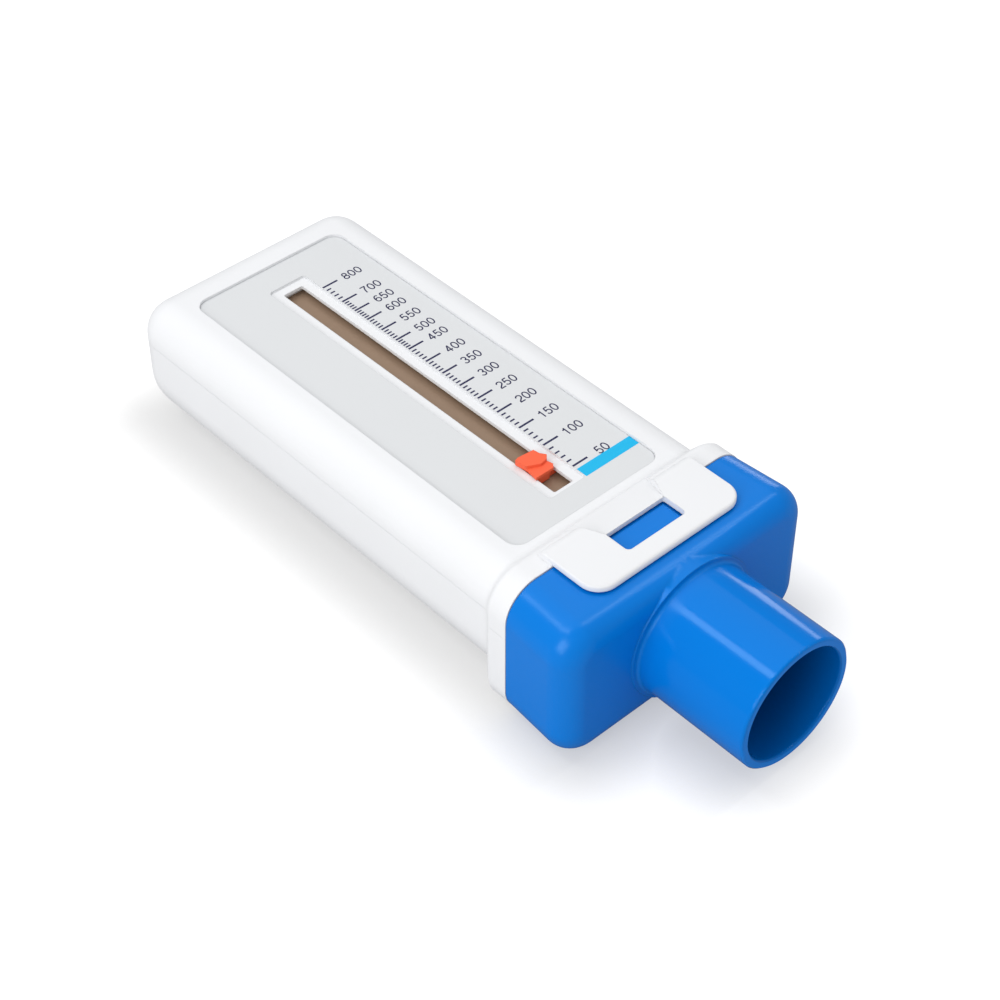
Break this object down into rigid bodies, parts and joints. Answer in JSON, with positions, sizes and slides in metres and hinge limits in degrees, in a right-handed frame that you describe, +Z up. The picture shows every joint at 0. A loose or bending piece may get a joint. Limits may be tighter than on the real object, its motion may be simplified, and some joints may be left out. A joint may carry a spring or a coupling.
{
  "type": "peak flow meter",
  "caption": "Hand-held peak flow meter: flat white body with a sunk scale and slot, an orange pointer pushed by a sprung piston, and a blue pull-off mouthpiece with a round spigot.",
  "frame": {"origin": "on the surface the meter lies on, under the middle of its whole length", "axes": "+Z up out of the scale side, X across the width, -Y out of the mouthpiece, +Y towards the closed far end"},
  "size_m": [0.063, 0.16, 0.0338],
  "materials": {
    "white_shell": "satin",
    "label_film": "matte",
    "brown_strip": "matte",
    "orange_plastic": "gloss",
    "blue_plastic": "gloss",
    "inner_white": "matte",
    "steel": "brushed",
    "rubber": "matte",
    "felt": "matte"
  },
  "bodies": {
    "casing": {"front_casing": "white_shell", "back_casing": "white_shell", "casing_screws": "steel", "scale_label": "label_film", "slot_strip": "brown_strip", "strip_rivets": "inner_white", "guide_rod": "steel", "front_bridge": "inner_white", "back_bridge": "inner_white", "rod_push_nut": "steel", "zero_stop": "rubber", "end_stop": "rubber", "spring_washer": "steel", "return_spring": "steel", "mouth_gasket": "rubber"},
    "piston": {"piston_vane": "inner_white", "piston_hub": "inner_white", "hub_ring": "steel"},
    "pointer": {"pointer_knob": "orange_plastic", "pointer_shoe": "orange_plastic", "friction_pad": "felt"},
    "mouthpiece": {"mouthpiece": "blue_plastic"}
  },
  "joints": [
    {"name": "piston_slide", "type": "slide", "parent": "casing", "child": "piston", "axis": [0, 1, 0], "range_m": [0, 0.0715], "stiffness_N_per_m": 12, "springref_m": -0.02, "deforming": ["return_spring"]},
    {"name": "pointer_slide", "type": "slide", "parent": "casing", "child": "pointer", "axis": [0, 1, 0], "range_m": [0, 0.0715]},
    {"name": "mouthpiece_pull", "type": "slide", "parent": "casing", "child": "mouthpiece", "axis": [0, -1, 0], "range_m": [0, 0.03]}
  ],
  "couplings": [
    {"joint": "pointer_slide", "follows": "piston_slide", "ratio": 1}
  ]
}
